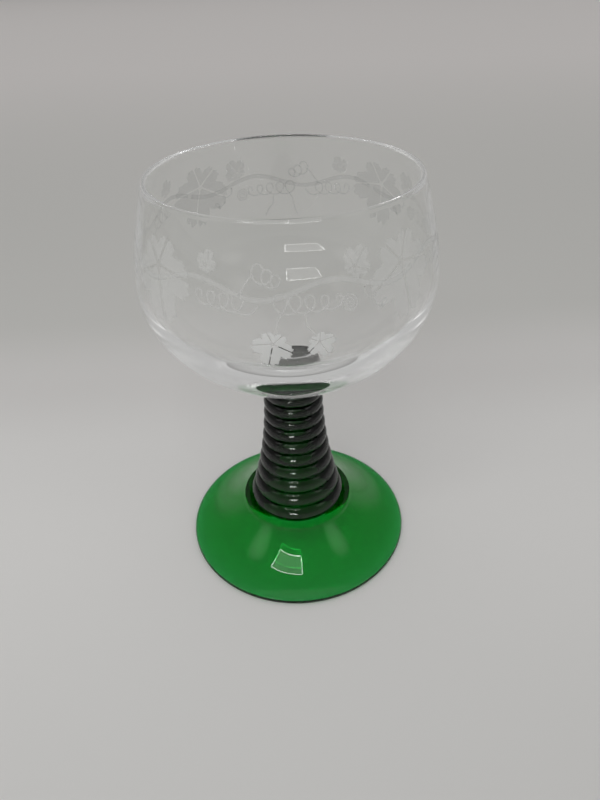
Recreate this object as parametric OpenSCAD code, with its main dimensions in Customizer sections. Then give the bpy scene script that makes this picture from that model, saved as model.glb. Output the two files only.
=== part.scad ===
// Roemer wine glass: a clear bowl on a ringed hollow stem and a flared hollow foot.
// Axis +Z, origin at the centre of the circle that the foot stands on, millimetres.

/* [Whole glass] */
// Height from the table to the lip
glass_h = 132; // [118:1:150]

/* [Bowl] */
// Largest outside radius of the bowl
belly_r = 42.7; // [38:0.1:46]
// Height of that widest circle above the table
belly_z = 105.4; // [98:0.1:110]
// Outside radius of the lip
lip_r = 36.7; // [32:0.1:38]
// Thickness of the lip, which is rounded over
lip_t = 1.1; // [0.9:0.1:2.4]
// Wall thickness at the widest circle
belly_t = 1.7; // [1.2:0.1:2.6]
// Solid glass between the stem and the inside of the bowl
base_t = 6; // [3:0.1:9]

/* [Stem] */
// Height of the joint between stem and bowl
stem_top_z = 68.6; // [62:0.1:72]
// Outside radius of the rings at that joint
stem_top_r = 9.7; // [8.5:0.1:11]
// Outside radius of the rings where the stem meets the foot
stem_base_r = 17.5; // [14:0.1:18]
// Number of rings
ring_count = 11; // [6:1:14]
// How far each ring stands out from the grooves beside it
ring_depth = 1.8; // [0.4:0.1:2.2]
// Wall thickness behind the grooves
stem_t = 1.9; // [1.5:0.1:3.2]
// Thickness of the disc that closes the top of the stem
stem_cap_t = 3; // [2:0.1:5]

/* [Foot] */
// Outside radius of the foot
foot_r = 39.7; // [34:0.1:44]
// Height of the ledge that the stem stands on
ledge_z = 15.2; // [11:0.1:18]
// Outside radius of the ledge
ledge_r = 19.8; // [18.6:0.1:22]
// How far the ledge stands above the start of the flare
ledge_drop = 1.2; // [0.6:0.1:2.5]
// Thickness of the rounded edge of the foot
foot_edge_t = 2; // [1.6:0.1:4]
// Width of the flat ring under the edge that the foot stands on
rest_w = 1.6; // [1:0.1:6]

/* [Hidden] */
$fn = 180;

// Steps along each curved stretch of an outline
curve_n = 36;
ring_n = 10;
round_n = 8;

// Roundness of the lower bowl: near the axis, and near the widest circle
bowl_bottom_pow = 1.323;
bowl_side_pow = 2.281;
// How late the bowl turns in towards the lip
bowl_lip_pow = 1.468;
// Quickness of the stem's widening and of the foot's flare
stem_flare_pow = 2.3;
foot_flare_pow = 1.6;
hollow_flare_pow = 1.6;
// Share by which the lowest ring is taller, and the highest shorter, than the mean
ring_stretch = 0.113;
ledge_round = 0.6;
// The lower bowl's curve runs to a point on the axis this far under the joint
bowl_point_drop = 2.7;

stem_h = stem_top_z - ledge_z;
bore_top_z = stem_top_z - stem_cap_t;
inner_floor_z = stem_top_z + base_t;

// Radius of a bowl curve at height z, with its point on the axis at z0
function lower_bowl_r(z, widest_r, z0) =
    widest_r * pow(1 - pow((belly_z - z) / (belly_z - z0), bowl_side_pow), 1 / bowl_bottom_pow);
function upper_bowl_r(z, widest_r, top_r) =
    widest_r - (widest_r - top_r) * pow((z - belly_z) / (glass_h - belly_z), bowl_lip_pow);

// Steps bunched towards the low end, where the curve turns fastest
function eased(i, n) = 1 - cos(90 * i / n);

// Height of groove i, counted from the foot, and the radius of the ring crests at height z
function groove_z(i) =
    ledge_z + stem_h * (i / ring_count) * (1 + ring_stretch * (1 - i / ring_count));
function crest_r(z) =
    stem_top_r + (stem_base_r - stem_top_r) * pow((stem_top_z - z) / stem_h, stem_flare_pow);
function bore_r(z) = crest_r(z) - ring_depth - stem_t;

// Heights of the foot's upper side and of the hollow under it at radius r
function foot_top_z(r) =
    foot_edge_t + (ledge_z - ledge_drop - foot_edge_t)
        * pow((foot_r - r) / (foot_r - ledge_r), foot_flare_pow);
function foot_hollow_z(r, mouth_r, top_r) =
    ledge_z * pow((mouth_r - r) / (mouth_r - top_r), hollow_flare_pow);

// Clear bowl: thick solid bottom with a flat pad on the stem, thin wall, rounded lip
module bowl() {
    point_z = stem_top_z - bowl_point_drop;
    lip_c = lip_r - lip_t / 2;
    lip_z = glass_h - lip_t / 2;
    inner_r = belly_r - belly_t;
    outside_low = [for (i = [0 : curve_n])
        let (z = stem_top_z + (belly_z - stem_top_z) * eased(i, curve_n))
        [lower_bowl_r(z, belly_r, point_z), z]];
    outside_high = [for (i = [1 : curve_n / 2])
        let (z = belly_z + (lip_z - belly_z) * 2 * i / curve_n)
        [upper_bowl_r(z, belly_r, lip_r), z]];
    lip = [for (i = [1 : round_n - 1])
        [lip_c + lip_t / 2 * cos(180 * i / round_n), lip_z + lip_t / 2 * sin(180 * i / round_n)]];
    inside_high = [for (i = [curve_n / 2 : -1 : 1])
        let (z = belly_z + (lip_z - belly_z) * 2 * i / curve_n)
        [upper_bowl_r(z, inner_r, lip_r - lip_t), z]];
    inside_low = [for (i = [curve_n : -1 : 0])
        let (z = inner_floor_z + (belly_z - inner_floor_z) * eased(i, curve_n))
        [lower_bowl_r(z, inner_r, inner_floor_z), z]];
    color("aliceblue", 0.35)
        rotate_extrude()
            polygon(concat([[0, stem_top_z]], outside_low, outside_high, lip,
                           inside_high, inside_low));
}

// Green ringed stem: hollow from below, closed at the top by a disc
module stem() {
    outside = [for (i = [0 : ring_count - 1])
        let (low = groove_z(i), high = groove_z(i + 1))
        for (j = [0 : ring_n - 1])
            let (turn = 180 * j / ring_n - 90,
                 z = (low + high) / 2 + (high - low) / 2 * sin(turn))
            [crest_r(z) - ring_depth * (1 - cos(turn)), z]];
    bore = [for (i = [curve_n : -1 : 0])
        let (z = ledge_z + (bore_top_z - ledge_z) * i / curve_n)
        [bore_r(z), z]];
    color("darkgreen", 0.8)
        rotate_extrude()
            polygon(concat(outside, [[stem_top_r - ring_depth, stem_top_z], [0, stem_top_z],
                                     [0, bore_top_z]], bore));
}

// Green foot: ledge under the stem, flared upper side, rounded edge, hollow underneath
module foot() {
    corner_r = ledge_r - ledge_round;
    corner_z = ledge_z - ledge_round;
    nose_r = foot_edge_t / 2;
    bore_base_r = bore_r(ledge_z);
    mouth_r = foot_r - nose_r - rest_w;
    corner = [for (i = [0 : round_n])
        [corner_r + ledge_round * sin(90 * i / round_n),
         corner_z + ledge_round * cos(90 * i / round_n)]];
    flare = [for (i = [0 : curve_n])
        let (r = ledge_r + (foot_r - nose_r - ledge_r) * i / curve_n)
        [r, foot_top_z(r)]];
    edge = [for (i = [1 : round_n])
        [foot_r - nose_r + nose_r * sin(180 * i / round_n),
         nose_r + nose_r * cos(180 * i / round_n)]];
    underside = [for (i = [0 : curve_n])
        let (r = mouth_r + (bore_base_r - mouth_r) * i / curve_n)
        [r, foot_hollow_z(r, mouth_r, bore_base_r)]];
    color("forestgreen", 0.6)
        rotate_extrude()
            polygon(concat(corner, flare, edge, underside));
}

bowl();
stem();
foot();
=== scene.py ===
"""Looks of a Roemer wine glass: a clear bowl with a frosted vine, on a ringed green stem and foot.

Lengths are metres, +Z is up the glass's axis and the foot stands on z = 0. The three glass bodies
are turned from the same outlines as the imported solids, only finer.
"""

import math

import bpy
from mathutils import Matrix, Vector


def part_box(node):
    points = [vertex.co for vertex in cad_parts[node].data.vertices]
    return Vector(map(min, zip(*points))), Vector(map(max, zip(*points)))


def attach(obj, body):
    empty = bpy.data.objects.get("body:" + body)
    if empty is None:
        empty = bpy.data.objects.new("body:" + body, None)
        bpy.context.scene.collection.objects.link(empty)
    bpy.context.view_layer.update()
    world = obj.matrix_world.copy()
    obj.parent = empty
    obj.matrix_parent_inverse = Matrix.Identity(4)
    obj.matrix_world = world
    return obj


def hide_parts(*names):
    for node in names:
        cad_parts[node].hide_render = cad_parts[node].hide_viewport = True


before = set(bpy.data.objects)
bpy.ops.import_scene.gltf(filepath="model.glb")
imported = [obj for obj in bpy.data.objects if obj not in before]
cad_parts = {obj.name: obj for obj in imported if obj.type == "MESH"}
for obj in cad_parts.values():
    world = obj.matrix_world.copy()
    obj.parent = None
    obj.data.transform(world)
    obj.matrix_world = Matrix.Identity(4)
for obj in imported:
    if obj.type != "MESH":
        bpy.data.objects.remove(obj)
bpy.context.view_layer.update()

MM = 0.001

# The imported solids give the heights of the joints and the widths of foot and belly
bowl_lo, bowl_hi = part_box("bowl")
stem_lo, stem_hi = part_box("stem")
foot_lo, foot_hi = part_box("foot")

LIP_Z = bowl_hi.z
JOINT_Z = bowl_lo.z
LEDGE_Z = stem_lo.z
FOOT_R = foot_hi.x

# Bowl
BELLY_R = bowl_hi.x
BELLY_Z = 105.4 * MM
LIP_R = 36.7 * MM
LIP_T = 1.1 * MM
BELLY_T = 1.7 * MM
BASE_T = 6 * MM
POINT_DROP = 2.7 * MM
BOTTOM_POW = 1.323
SIDE_POW = 2.281
LIP_POW = 1.468

# Stem
STEM_TOP_R = 9.7 * MM
STEM_BASE_R = 17.5 * MM
RINGS = 11
RING_DEPTH = 1.8 * MM
RING_STRETCH = 0.113
STEM_POW = 2.3
STEM_T = 1.9 * MM
STEM_CAP_T = 3 * MM

# Foot
LEDGE_R = 19.8 * MM
LEDGE_ROUND = 0.6 * MM
LEDGE_DROP = 1.2 * MM
EDGE_T = 2 * MM
REST_W = 1.6 * MM
FLARE_POW = 1.6
HOLLOW_POW = 1.6

# Frosted vine: angles are degrees round the bowl from the front, growing to the right
VINE_REPEATS = 4
VINE_T = 0.04 * MM
VINE_CLEAR = 0.03 * MM
BRANCH_Z = 117.2 * MM
BRANCH_WAVE = 1.9 * MM
BRANCH_W = 1.3 * MM
BRANCH_CREST = 13.5
BRANCH_PERIOD = 45
BRANCH_START = -42
BRANCH_SPAN = 88
BRANCH_POINTS = 120
TENDRIL_POINTS = 140

# A leaf is drawn 1 long. Its outline is tapered, notched between the lobes and toothed
LOBES = 5
VEIN_GAP = 0.035
LEAF_HEART = 0.05
LEAF_TAPER = 0.28
NOTCH_DEPTH = 0.4
TEETH_PER_LOBE = 6
TOOTH_LOW = 0.9
TOOTH_DEPTH = 0.14

# Share of the light that the frost holds back
LIGHT_FROST = 0.14
DEEP_FROST = 0.75

# Each leaf: angle and height of its stalk, length, and turn of its tip from straight down
HIGH_LEAVES = [
    (41, 119 * MM, 14 * MM, 10),
    (-27.5, 122 * MM, 3.6 * MM, 160),
    (22, 121 * MM, 5 * MM, 140),
]
LOW_LEAVES = [
    (-5.6, 105 * MM, 6.4 * MM, -12),
    (9, 105 * MM, 4.6 * MM, 30),
]

# Each tendril: angle and height of its start and end, loop radius at start and end, and turns
TENDRILS = [
    (-17, 116 * MM, -10, 121 * MM, 0.6 * MM, 0.6 * MM, 0.5),
    (-10.5, 121.5 * MM, -3, 119 * MM, 2 * MM, 1.5 * MM, 2.6),
    (-31, 115 * MM, -13, 114 * MM, 1.6 * MM, 2.2 * MM, 4),
    (-4, 114.5 * MM, 17, 114 * MM, 2.4 * MM, 1.5 * MM, 4.5),
    (19.5, 113.1 * MM, 19.5, 113.1 * MM, 0.3 * MM, 2.2 * MM, 2.5),
    (-5.6, 105 * MM, -1, 116 * MM, 0 * MM, 0.8 * MM, 1),
    (9, 105 * MM, 4, 112 * MM, 0 * MM, 0.7 * MM, 1),
    (24, 116 * MM, 33, 110 * MM, 0.5 * MM, 1.4 * MM, 2.5),
]
TENDRIL_W = 0.45 * MM

# Joined glass overlaps by this much, so that light passes from one body straight into the next
FUSE = 0.02 * MM

# Colours
CLEAR_TINT = (0.985, 0.99, 0.985, 1)
NO_TINT = (1, 1, 1, 1)
STEM_SHADE, STEM_DENSITY = (0.02, 0.75, 0.4, 1), 2400
FOOT_SHADE, FOOT_DENSITY = (0.02, 0.882, 0.37, 1), 650
FROST_DULL, FROST_BRIGHT = (0.9, 0.91, 0.9, 1), (0.97, 0.98, 0.97, 1)
# The paper's grey at the front, darker there as painted shade
PAPER_FRONT_PAINTED_SHADE = (0.735, 0.73, 0.715, 1)

# Each change of the paper's grey, painted light and painted shade for how the tent's light falls
# across it (paler round the glass, darker further behind): where it starts and ends behind the
# axis, and what it becomes
PAPER_PAINTED_LIGHT_STEPS = [
    (-0.15, 0.02, (0.91, 0.9, 0.885, 1)),
    (0.045, 0.1, (0.84, 0.825, 0.81, 1)),
    (0.1, 0.17, (0.75, 0.745, 0.72, 1)),
    (0.25, 1.2, (0.885, 0.855, 0.84, 1)),
]
PAPER_REACH = 9.0

# Camera
CAMERA_PLACE = (0, -163.08, 178.78)
CAMERA_PITCH, CAMERA_YAW, CAMERA_ROLL = 36.823, 0.778, -2.062
CAMERA_LENS = 27.39

# Light bounces: many, for the thick base and the rings
BOUNCES = 256

# Brightness of the light tent's walls, roof and lamps
WALL_GLOW = 0.42
ROOF_GLOW = 0.18
PANEL_GLOW = 1.2
STRIP_GLOW = 12.0
WINDOW_GLOW = 10.0
FILL_GLOW = 0.3

# Two soft glows up on the tent's walls: brightness, bearings from the front, height and reach
SPOT_GLOW = 0.7
SPOT_BEARINGS = (math.radians(-67), math.radians(63))
SPOT_HEIGHT = math.radians(40)
SPOT_REACH = math.radians(13)


# ---- node trees -------------------------------------------------------------------------------


class Socket:
    """An output socket that Python's operators work on. Each operator adds a Math node."""

    def __init__(self, tree, link):
        self.tree, self.link = tree, link

    def maths(self, operation, *others, swap=False):
        values = [self, *others]
        if swap:
            values.reverse()
        settings = {"operation": operation}
        return self.tree.add("ShaderNodeMath", settings, dict(enumerate(values))).out(0)

    def __add__(self, other):
        return self.maths("ADD", other)

    def __sub__(self, other):
        return self.maths("SUBTRACT", other)

    def __mul__(self, other):
        return self.maths("MULTIPLY", other)

    def __truediv__(self, other):
        return self.maths("DIVIDE", other)

    def __pow__(self, other):
        return self.maths("POWER", other)

    def __mod__(self, other):
        return self.maths("FLOORED_MODULO", other)

    def __rsub__(self, other):
        return self.maths("SUBTRACT", other, swap=True)

    def __rtruediv__(self, other):
        return self.maths("DIVIDE", other, swap=True)

    __radd__ = __add__
    __rmul__ = __mul__


class Made:
    """A node that was added to a tree. out() gives one of its outputs."""

    def __init__(self, tree, node):
        self.tree, self.node = tree, node

    def out(self, key=0):
        return Socket(self.tree, self.node.outputs[key])


class Tree:
    """A shader or geometry node tree under construction."""

    def __init__(self, nodes):
        self.nodes = nodes

    def add(self, kind, settings=None, inputs=None):
        """Adds a node: its settings first, then the value or link of each named input."""
        node = self.nodes.nodes.new(kind)
        for name, value in (settings or {}).items():
            setattr(node, name, value)
        for key, value in (inputs or {}).items():
            self.feed(node.inputs[key], value)
        return Made(self, node)

    def feed(self, socket, value):
        if isinstance(value, Socket):
            self.nodes.links.new(value.link, socket)
        elif value is not None:
            socket.default_value = value

    def vector(self, x=0.0, y=0.0, z=0.0):
        return self.add("ShaderNodeCombineXYZ", None, {"X": x, "Y": y, "Z": z}).out()

    def joined(self, parts):
        """Several geometries as one."""
        join = self.nodes.nodes.new("GeometryNodeJoinGeometry")
        for part in reversed(parts):
            self.feed(join.inputs[0], part)
        return Made(self, join).out()

    def split(self, vector):
        """The x, y and z of a vector."""
        parts = self.add("ShaderNodeSeparateXYZ", None, {"Vector": vector})
        return parts.out("X"), parts.out("Y"), parts.out("Z")


class GeometryTree(Tree):
    """A Geometry Nodes tree with named inputs. It takes in the piece's own mesh."""

    KINDS = {float: "NodeSocketFloat", int: "NodeSocketInt"}

    def __init__(self, name, **sizes):
        super().__init__(bpy.data.node_groups.new(name, "GeometryNodeTree"))
        face = self.nodes.interface
        face.new_socket("Mesh", in_out="INPUT", socket_type="NodeSocketGeometry")
        self.sizes = {}
        for label, value in sizes.items():
            kind = self.KINDS.get(type(value), "NodeSocketMaterial")
            socket = face.new_socket(label, in_out="INPUT", socket_type=kind)
            self.sizes[label] = (socket.identifier, value)
        face.new_socket("Mesh", in_out="OUTPUT", socket_type="NodeSocketGeometry")
        self.group_in = self.add("NodeGroupInput")

    def given(self, label):
        return self.group_in.out(label)

    def end(self, mesh):
        """Closes the tree: instances made real, smooth shading, and the material set."""
        real = self.add("GeometryNodeRealizeInstances", None, {0: mesh}).out()
        smooth = self.add("GeometryNodeSetShadeSmooth", None, {0: real}).out()
        ready = self.add(
            "GeometryNodeSetMaterial", None, {0: smooth, "Material": self.given("Material")}
        ).out()
        self.add("NodeGroupOutput", None, {0: ready})

    def applied_to(self, start):
        """The plain mesh that this tree makes from a starting mesh."""
        holder = bpy.data.objects.new(self.nodes.name + "_start", start)
        bpy.context.scene.collection.objects.link(holder)
        modifier = holder.modifiers.new("shape", "NODES")
        modifier.node_group = self.nodes
        for identifier, value in self.sizes.values():
            modifier[identifier] = value
        seen = holder.evaluated_get(bpy.context.evaluated_depsgraph_get())
        mesh = bpy.data.meshes.new_from_object(seen)
        holder.modifiers.remove(modifier)
        bpy.data.objects.remove(holder)
        return mesh


# ---- pieces turned about the axis -------------------------------------------------------------


def turning_tree(name, material, turns):
    """Geometry Nodes tree that turns an outline in the XZ plane once about the Z axis."""
    tree = GeometryTree(name, Turns=turns, Material=material)
    outline, around = tree.given("Mesh"), tree.given("Turns")
    count = tree.add("GeometryNodeAttributeDomainSize", None, {0: outline}).out("Point Count")
    columns = around + 1
    grid = tree.add("GeometryNodeMeshGrid", None, {"Vertices X": count, "Vertices Y": columns})
    index = tree.add("GeometryNodeInputIndex").out()
    row = (index / columns).maths("FLOOR")
    angle = (index % columns) * (2 * math.pi) / around
    place = tree.add("GeometryNodeInputPosition").out()
    point = tree.add(
        "GeometryNodeSampleIndex",
        {"data_type": "FLOAT_VECTOR"},
        {"Geometry": outline, "Value": place, "Index": row},
    ).out()
    radius, _, height = tree.split(point)
    turned = tree.vector(radius * angle.maths("COSINE"), radius * angle.maths("SINE"), height)
    moved = tree.add("GeometryNodeSetPosition", None, {0: grid.out(), "Position": turned}).out()
    seam = {0: moved, "Distance": 0.1 * FUSE}
    tree.end(tree.add("GeometryNodeMergeByDistance", None, seam).out())
    return tree


def turned_piece(name, outline, material, turns=256):
    """A closed glass body. Its outline, in (radius, height) points, runs down the outer side."""
    start = bpy.data.meshes.new(name + "_outline")
    points = [(r, 0, z) for r, z in outline]
    start.from_pydata(points, [(i, i + 1) for i in range(len(points) - 1)], [])
    mesh = turning_tree(name + "_turned", material, turns).applied_to(start)
    mesh.name = name
    piece = bpy.data.objects.new(name, mesh)
    bpy.context.scene.collection.objects.link(piece)
    return piece


def blend(a, b, t):
    return a + (b - a) * t


def lower_bowl_r(z, widest, low_z):
    """Radius of a bowl curve below its widest circle; the curve meets the axis at low_z."""
    share = (BELLY_Z - z) / (BELLY_Z - low_z)
    return widest * max(0, 1 - share**SIDE_POW) ** (1 / BOTTOM_POW)


def upper_bowl_r(z, widest, top_r):
    return widest - (widest - top_r) * ((z - BELLY_Z) / (LIP_Z - BELLY_Z)) ** LIP_POW


def outside_r(z):
    """Outside radius of the bowl at height z."""
    if z > BELLY_Z:
        return upper_bowl_r(z, BELLY_R, LIP_R)
    return lower_bowl_r(z, BELLY_R, JOINT_Z - POINT_DROP)


def inside_r(z):
    if z > BELLY_Z:
        return upper_bowl_r(z, BELLY_R - BELLY_T, LIP_R - LIP_T)
    return lower_bowl_r(z, BELLY_R - BELLY_T, JOINT_Z + BASE_T)


def eased(low, high, steps):
    """Heights from low to high, bunched towards the low end where a bowl curve turns fastest."""
    return [blend(low, high, 1 - math.cos(math.pi / 2 * i / steps)) for i in range(steps + 1)]


def spaced(low, high, steps):
    return [blend(low, high, i / steps) for i in range(steps + 1)]


def arc(centre_r, centre_z, radius, start, end, steps):
    """Points of an arc in the outline plane; angles in degrees, 0 outwards and 90 up."""
    turns = [math.radians(a) for a in spaced(start, end, steps)]
    return [(centre_r + radius * math.cos(a), centre_z + radius * math.sin(a)) for a in turns]


def bowl_outline():
    """Up the inside from the axis, over the lip, down the outside and across the pad."""
    lip_z = LIP_Z - LIP_T / 2
    outside = eased(JOINT_Z, BELLY_Z, 90) + spaced(BELLY_Z, lip_z, 40)[1:]
    inside = eased(JOINT_Z + BASE_T, BELLY_Z, 90) + spaced(BELLY_Z, lip_z, 40)[1:]
    lip = arc(LIP_R - LIP_T / 2, lip_z, LIP_T / 2, 180, 0, 14)[1:-1]
    pad = [(outside_r(JOINT_Z), JOINT_Z - FUSE), (0, JOINT_Z - FUSE)]
    return (
        [(inside_r(z), z) for z in inside]
        + lip
        + [(outside_r(z), z) for z in reversed(outside)]
        + pad
    )


def groove_z(i):
    share = i / RINGS
    return LEDGE_Z + (JOINT_Z - LEDGE_Z) * share * (1 + RING_STRETCH * (1 - share))


def crest_r(z):
    share = (JOINT_Z - z) / (JOINT_Z - LEDGE_Z)
    return STEM_TOP_R + (STEM_BASE_R - STEM_TOP_R) * max(0, share) ** STEM_POW


def bore_r(z):
    return crest_r(z) - RING_DEPTH - STEM_T


def ring_points(i, steps=16):
    """Outline of one ring, from the groove below it up to the groove above."""
    low, high = groove_z(i), groove_z(i + 1)
    points = []
    for turn in spaced(-math.pi / 2, math.pi / 2, steps)[:-1]:
        z = blend(low, high, (1 + math.sin(turn)) / 2)
        points.append((crest_r(z) - RING_DEPTH * (1 - math.cos(turn)), z))
    return points


def stem_outline():
    """Across the top disc from the axis, down the rings and up the bore to the axis."""
    cap_z = JOINT_Z - STEM_CAP_T
    top = [(0, JOINT_Z), (STEM_TOP_R - RING_DEPTH, JOINT_Z)]
    rings = [p for i in range(RINGS) for p in ring_points(i)]
    foot_face = [(rings[0][0], LEDGE_Z - FUSE), (bore_r(LEDGE_Z), LEDGE_Z - FUSE)]
    bore = [(bore_r(z), z) for z in spaced(LEDGE_Z, cap_z, 60)]
    return top + rings[::-1] + foot_face + bore + [(0, cap_z)]


def foot_top_z(r):
    rise = LEDGE_Z - LEDGE_DROP - EDGE_T
    return EDGE_T + rise * ((FOOT_R - r) / (FOOT_R - LEDGE_R)) ** FLARE_POW


def foot_outline():
    nose = EDGE_T / 2
    mouth = FOOT_R - nose - REST_W
    bore = bore_r(LEDGE_Z)
    corner_z = LEDGE_Z - LEDGE_ROUND
    corner = arc(LEDGE_R - LEDGE_ROUND, corner_z, LEDGE_ROUND, 90, 0, 8)
    flare = [(r, foot_top_z(r)) for r in spaced(LEDGE_R, FOOT_R - nose, 70)]
    edge = arc(FOOT_R - nose, nose, nose, 90, -90, 16)[1:]
    under = [
        (r, LEDGE_Z * ((mouth - r) / (mouth - bore)) ** HOLLOW_POW)
        for r in spaced(mouth, bore, 70)
    ]
    return corner + flare + edge + under + [corner[0]]


# ---- frosted vine -----------------------------------------------------------------------------


def wrapped_round_bowl(tree, flat):
    """Repeats flat work round the bowl and bends it on: x runs round, y is height, z stands off."""
    quarter = 2 * math.pi * BELLY_R / VINE_REPEATS
    row = tree.add(
        "GeometryNodeMeshLine", None, {"Count": tree.given("Repeats"), "Offset": (quarter, 0, 0)}
    )
    copies = tree.add("GeometryNodeInstanceOnPoints", None, {"Points": row.out(), "Instance": flat})
    real = tree.add("GeometryNodeRealizeInstances", None, {0: copies.out()}).out()
    along, height, off = tree.split(tree.add("GeometryNodeInputPosition").out())
    above = (height - BELLY_Z).maths("MAXIMUM", 0) / (LIP_Z - BELLY_Z)
    below = (BELLY_Z - height).maths("MAXIMUM", 0) / (BELLY_Z - JOINT_Z + POINT_DROP)
    side = (1 - below**SIDE_POW) ** (1 / BOTTOM_POW) * BELLY_R
    radius = side - above**LIP_POW * (BELLY_R - LIP_R) + off + VINE_CLEAR
    turn = along / BELLY_R
    place = tree.vector(radius * turn.maths("SINE"), radius * turn.maths("COSINE") * -1, height)
    return tree.add("GeometryNodeSetPosition", None, {0: real, "Position": place}).out()


def ribbon(tree, x, y, width, points):
    """A thin flat strip along a path; x and y are the path, found from each point's share."""
    line = tree.add("GeometryNodeMeshLine", None, {"Count": points}).out()
    path = tree.add("GeometryNodeMeshToCurve", None, {0: line}).out()
    placed = tree.add(
        "GeometryNodeSetPosition", None, {0: path, "Position": tree.vector(x, y, 0)}
    ).out()
    upright = tree.add("GeometryNodeSetCurveNormal", {"mode": "Z_UP"}, {0: placed}).out()
    section = tree.add(
        "GeometryNodeCurvePrimitiveQuadrilateral",
        None,
        {"Width": width, "Height": tree.given("Thickness")},
    ).out()
    return tree.add(
        "GeometryNodeCurveToMesh",
        None,
        {"Curve": upright, "Profile Curve": section, "Fill Caps": True},
    ).out()


def arc_length(degrees):
    return math.radians(degrees) * BELLY_R


def branch_tree(material):
    """The wavy stem of the vine, one quarter of it and its repeats."""
    tree = GeometryTree(
        "vine_branch", Thickness=VINE_T, Repeats=VINE_REPEATS, Wave=BRANCH_WAVE, Material=material
    )
    share = tree.add("GeometryNodeInputIndex").out() / (BRANCH_POINTS - 1)
    angle = share * BRANCH_SPAN + BRANCH_START
    wave = ((angle - BRANCH_CREST) * (2 * math.pi / BRANCH_PERIOD)).maths("COSINE")
    height = wave * tree.given("Wave") + BRANCH_Z
    strip = ribbon(tree, angle * arc_length(1), height, BRANCH_W, BRANCH_POINTS)
    tree.end(wrapped_round_bowl(tree, strip))
    return tree


def tendril_tree(material):
    """Curling tendrils: each path runs from its start to its end while it loops."""
    tree = GeometryTree(
        "vine_tendrils", Thickness=VINE_T, Repeats=VINE_REPEATS, Width=TENDRIL_W, Material=material
    )
    share = tree.add("GeometryNodeInputIndex").out() / (TENDRIL_POINTS - 1)
    strips = []
    for start, low, end, high, first, last, turns in TENDRILS:
        loop = share * (last - first) + first
        swing = share * (2 * math.pi * turns)
        x = share * arc_length(end - start) + loop * swing.maths("COSINE") + arc_length(start)
        y = share * (high - low) + loop * swing.maths("SINE") + low
        strips.append(ribbon(tree, x, y, tree.given("Width"), TENDRIL_POINTS))
    tree.end(wrapped_round_bowl(tree, tree.joined(strips)))
    return tree


def leaf_sector(tree, first, rings=12, rays=24):
    """The flat leaf between two of its veins. The leaf is 1 long with its tip at +X."""
    grid = tree.add("GeometryNodeMeshGrid", None, {"Vertices X": rings, "Vertices Y": rays}).out()
    index = tree.add("GeometryNodeInputIndex").out()
    out = (index / rays).maths("FLOOR") / (rings - 1) * (1 - LEAF_HEART) + LEAF_HEART
    share = (index % rays) / (rays - 1)
    wide = 2 * math.pi / LOBES
    angle = (share + first) * wide
    taper = angle.maths("COSINE") * LEAF_TAPER + (1 - LEAF_TAPER)
    notch = (share * 2 - 1).maths("ABSOLUTE")
    lobe = 1 - (1 - notch) ** 3 * NOTCH_DEPTH
    teeth = (share * TEETH_PER_LOBE).maths("FRACT") * TOOTH_DEPTH + TOOTH_LOW
    reach = out * taper * lobe * teeth
    middle = (first + 0.5) * wide
    gap = tree.given("Vein Gap")
    x = reach * angle.maths("COSINE") + gap * math.cos(middle)
    y = reach * angle.maths("SINE") + gap * math.sin(middle)
    return tree.add("GeometryNodeSetPosition", None, {0: grid, "Position": tree.vector(x, y)}).out()


def leaf_tree(leaves, material, repeats=VINE_REPEATS):
    """Lobed leaves with clear veins, each a copy of one leaf turned and sized."""
    tree = GeometryTree(
        "vine_leaves",
        **{"Thickness": VINE_T, "Repeats": repeats, "Vein Gap": VEIN_GAP, "Material": material},
    )
    leaf = tree.joined([leaf_sector(tree, i) for i in range(LOBES)])
    placed = []
    for angle, height, length, turn in leaves:
        moved = {
            "Geometry": leaf,
            "Translation": (arc_length(angle), height, 0),
            "Rotation": (0, 0, math.radians(turn - 90)),
            "Scale": (length, length, length),
        }
        placed.append(tree.add("GeometryNodeTransform", None, moved).out())
    sheet = tree.joined(placed)
    lift = tree.vector(0, 0, tree.given("Thickness"))
    top = tree.add(
        "GeometryNodeExtrudeMesh", None, {"Mesh": sheet, "Offset": lift, "Individual": False}
    ).out()
    under = tree.add("GeometryNodeFlipFaces", None, {0: sheet}).out()
    slab = {0: tree.joined([top, under]), "Distance": 0.05 * VINE_T}
    closed = tree.add("GeometryNodeMergeByDistance", None, slab).out()
    tree.end(wrapped_round_bowl(tree, closed))
    return tree


def vine_piece(name, tree):
    mesh = tree.applied_to(bpy.data.meshes.new(name + "_start"))
    mesh.name = name
    piece = bpy.data.objects.new(name, mesh)
    bpy.context.scene.collection.objects.link(piece)
    return piece


# ---- finishes ---------------------------------------------------------------------------------


def new_material(name):
    """A material with an empty tree, its Principled shader and its output."""
    material = bpy.data.materials.new(name)
    material.use_nodes = True
    material.node_tree.nodes.clear()
    tree = Tree(material.node_tree)
    surface = tree.add("ShaderNodeBsdfPrincipled")
    output = tree.add("ShaderNodeOutputMaterial", None, {"Surface": surface.out()})
    return material, tree, surface, output


def glass(name, tint, density=0.0, shade=NO_TINT):
    """Blown glass. Its surface wanders a little, and shade is the colour it takes from light."""
    material, tree, surface, output = new_material(name)
    place = tree.add("ShaderNodeTexCoord").out("Object")
    waves = tree.add("ShaderNodeTexNoise", None, {"Vector": place, "Scale": 55.0, "Detail": 1.0})
    bump = tree.add(
        "ShaderNodeBump", None, {"Height": waves.out(0), "Strength": 0.05, "Distance": 0.0004}
    )
    tree.feed(surface.node.inputs["Normal"], bump.out())
    tree.feed(surface.node.inputs["Base Color"], tint)
    tree.feed(surface.node.inputs["Transmission Weight"], 1.0)
    tree.feed(surface.node.inputs["Roughness"], 0.01)
    tree.feed(surface.node.inputs["IOR"], 1.5)
    if density:
        depth = tree.add(
            "ShaderNodeVolumeAbsorption", None, {"Color": shade, "Density": density}
        )
        tree.feed(output.node.inputs["Volume"], depth.out())
    return material


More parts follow.
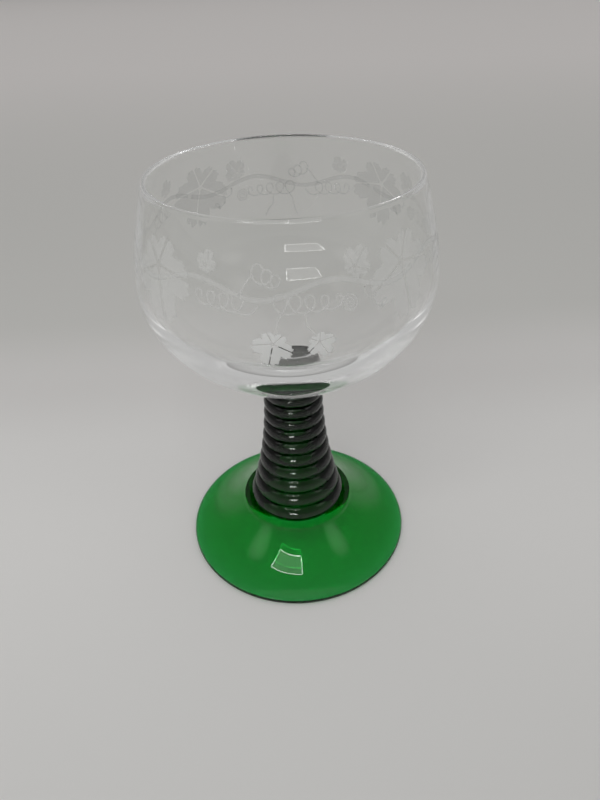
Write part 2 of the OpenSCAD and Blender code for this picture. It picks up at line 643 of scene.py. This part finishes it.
def frost(name, cover):
    """Ground-glass white that lets most of the light through."""
    material, tree, surface, _ = new_material(name)
    place = tree.add("ShaderNodeTexCoord").out("Object")
    grain = tree.add("ShaderNodeTexNoise", None, {"Vector": place, "Scale": 900.0, "Detail": 2.0})
    tone = tree.add(
        "ShaderNodeMix",
        {"data_type": "RGBA"},
        {"Factor": grain.out(0), 6: FROST_DULL, 7: FROST_BRIGHT},
    ).out(2)
    tree.feed(surface.node.inputs["Base Color"], tone)
    tree.feed(surface.node.inputs["Roughness"], 0.7)
    tree.feed(surface.node.inputs["Alpha"], cover)
    return material


def floor_with_painted_light():
    """Pale matt paper with painted light and shade: palest round the glass, with a grey that
    changes with its depth, painted for how the tent's light falls.
    """
    material, tree, surface, _ = new_material("pale_floor_painted_light")
    place = tree.add("ShaderNodeTexCoord").out("Object")
    _, depth, _ = tree.split(place)
    tone = PAPER_FRONT_PAINTED_SHADE
    for start, end, shade in PAPER_PAINTED_LIGHT_STEPS:
        share = tree.add(
            "ShaderNodeMapRange",
            {"interpolation_type": "SMOOTHSTEP"},
            {"Value": depth, "From Min": start, "From Max": end},
        ).out()
        mixed = {"Factor": share, 6: tone, 7: shade}
        tone = tree.add("ShaderNodeMix", {"data_type": "RGBA"}, mixed).out(2)
    tree.feed(surface.node.inputs["Base Color"], tone)
    tree.feed(surface.node.inputs["Roughness"], 0.9)
    tree.feed(surface.node.inputs["Specular IOR Level"], 0.1)
    return material


# ---- stage ------------------------------------------------------------------------------------


def camera():
    """Looks down at the glass from the front, turned slightly as a hand-held camera is."""
    place = Vector(CAMERA_PLACE) * MM
    pitch, yaw, roll = (math.radians(a) for a in (CAMERA_PITCH, CAMERA_YAW, CAMERA_ROLL))
    level_share = math.cos(pitch)
    ahead = Vector((math.sin(yaw) * level_share, math.cos(yaw) * level_share, -math.sin(pitch)))
    level = Vector((math.cos(yaw), -math.sin(yaw), 0))
    up = level.cross(ahead)
    right = level * math.cos(roll) + up * math.sin(roll)
    top = up * math.cos(roll) - level * math.sin(roll)
    data = bpy.data.cameras.new("camera")
    data.sensor_width = 36
    data.lens = CAMERA_LENS
    data.clip_start = 0.005
    view = bpy.data.objects.new("camera", data)
    axes = Matrix((right, top, -ahead)).transposed().to_4x4()
    view.matrix_world = Matrix.Translation(place) @ axes
    bpy.context.scene.collection.objects.link(view)
    bpy.context.scene.camera = view


def floor():
    mesh = bpy.data.meshes.new("floor")
    reach = PAPER_REACH
    corners = [(-reach, -reach, 0), (reach, -reach, 0), (reach, reach, 0), (-reach, reach, 0)]
    mesh.from_pydata(corners, [], [(0, 1, 2, 3)])
    mesh.materials.append(floor_with_painted_light())
    sheet = bpy.data.objects.new("floor", mesh)
    sheet.location.z = -0.05 * MM
    bpy.context.scene.collection.objects.link(sheet)


def lamp(name, place, target, width, depth, radiance, in_gloss=True):
    """A rectangular light with a given brightness over its face."""
    data = bpy.data.lights.new(name, "AREA")
    data.shape = "RECTANGLE"
    data.size, data.size_y = width, depth
    data.energy = radiance * math.pi * width * depth
    light = bpy.data.objects.new(name, data)
    light.location = place
    light.rotation_euler = (Vector(target) - Vector(place)).to_track_quat("-Z", "Y").to_euler()
    light.visible_glossy = in_gloss
    bpy.context.scene.collection.objects.link(light)
    return light


def framed_panel():
    """A dim diffuser with a bright strip along each edge, level above the front left."""
    low, high, above = Vector((-0.2, -0.31, 0)), Vector((0.005, -0.2, 0)), 0.4
    strip = 0.012
    middle = (low + high) / 2
    width, depth = high.x - low.x, high.y - low.y
    parts = [
        ("panel", middle.x, middle.y, width, depth, PANEL_GLOW),
        ("strip_far", middle.x, high.y, width, strip, STRIP_GLOW),
        ("strip_near", middle.x, low.y, width, strip, STRIP_GLOW),
        ("strip_left", low.x, middle.y, strip, depth, STRIP_GLOW),
        ("strip_right", high.x, middle.y, strip, depth, STRIP_GLOW),
    ]
    for name, x, y, wide, deep, glow in parts:
        lamp(name, (x, y, above), (x, y, 0), wide, deep, glow)


def ring_light(stem):
    """A low window that only the stem's rings mirror."""
    window = lamp("low_window", (-0.15, -0.78, 0.2), (0, 0, 0.045), 0.22, 0.16, WINDOW_GLOW)
    lit = bpy.data.collections.new("rings_only")
    lit.objects.link(stem)
    window.light_linking.receiver_collection = lit


def let_light_through_thick_glass():
    """Light turns back many times inside thick glass and rings before it comes out."""
    cycles = bpy.context.scene.cycles
    cycles.max_bounces = BOUNCES
    cycles.transmission_bounces = BOUNCES
    cycles.glossy_bounces = BOUNCES


def soft_spot(tree, toward, bearing):
    """A share that rises smoothly to one around a direction up on the tent wall."""
    level = math.cos(SPOT_HEIGHT)
    aim = (level * math.sin(bearing), -level * math.cos(bearing), math.sin(SPOT_HEIGHT))
    closeness = tree.add("ShaderNodeVectorMath", {"operation": "DOT_PRODUCT"}, {0: toward, 1: aim})
    limits = {"Value": closeness.out("Value")}
    limits["From Min"], limits["From Max"] = math.cos(SPOT_REACH), 1.0
    return tree.add("ShaderNodeMapRange", {"interpolation_type": "SMOOTHSTEP"}, limits).out()


def room_light():
    """The inside of a tent with pale walls and a darker roof."""
    world = bpy.data.worlds.new("tent")
    world.use_nodes = True
    world.node_tree.nodes.clear()
    tree = Tree(world.node_tree)
    toward = tree.add("ShaderNodeTexCoord").out("Generated")
    _, _, height = tree.split(toward)
    roof = tree.add(
        "ShaderNodeMapRange",
        {"interpolation_type": "SMOOTHSTEP"},
        {"Value": height, "From Min": 0.08, "From Max": 0.32},
    )
    glow = roof.out() * (ROOF_GLOW - WALL_GLOW) + WALL_GLOW
    for bearing in SPOT_BEARINGS:
        glow = glow + soft_spot(tree, toward, bearing) * SPOT_GLOW
    tone = tree.add("ShaderNodeBackground", None, {"Color": (1, 0.99, 0.975, 1), "Strength": glow})
    tree.add("ShaderNodeOutputWorld", None, {"Surface": tone.out()})
    bpy.context.scene.world = world


def stand(piece, node):
    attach(piece, "root")
    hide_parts(node)


camera()
floor()
room_light()
framed_panel()
lamp("soft_fill", (0, 0, 1.2), (0, 0, 0), 8, 8, FILL_GLOW, in_gloss=False)
bpy.context.scene.view_settings.view_transform = "Standard"
let_light_through_thick_glass()

clear = glass("clear_glass", CLEAR_TINT)
stem_green = glass("stem_green_glass", NO_TINT, STEM_DENSITY, STEM_SHADE)
foot_green = glass("foot_green_glass", NO_TINT, FOOT_DENSITY, FOOT_SHADE)

stand(turned_piece("clear_bowl", bowl_outline(), clear), "bowl")
ringed_stem = turned_piece("ringed_stem", stem_outline(), stem_green)
stand(ringed_stem, "stem")
ring_light(ringed_stem)
stand(turned_piece("flared_foot", foot_outline(), foot_green), "foot")

light_frost = frost("light_frost", LIGHT_FROST)
deep_frost = frost("deep_frost", DEEP_FROST)
for name, tree in (
    ("frosted_branch", branch_tree(light_frost)),
    ("frosted_tendrils", tendril_tree(light_frost)),
    ("frosted_high_leaves", leaf_tree(HIGH_LEAVES, light_frost)),
    ("frosted_low_leaves", leaf_tree(LOW_LEAVES, deep_frost, repeats=1)),
):
    piece = vine_piece(name, tree)
    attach(piece, "root")
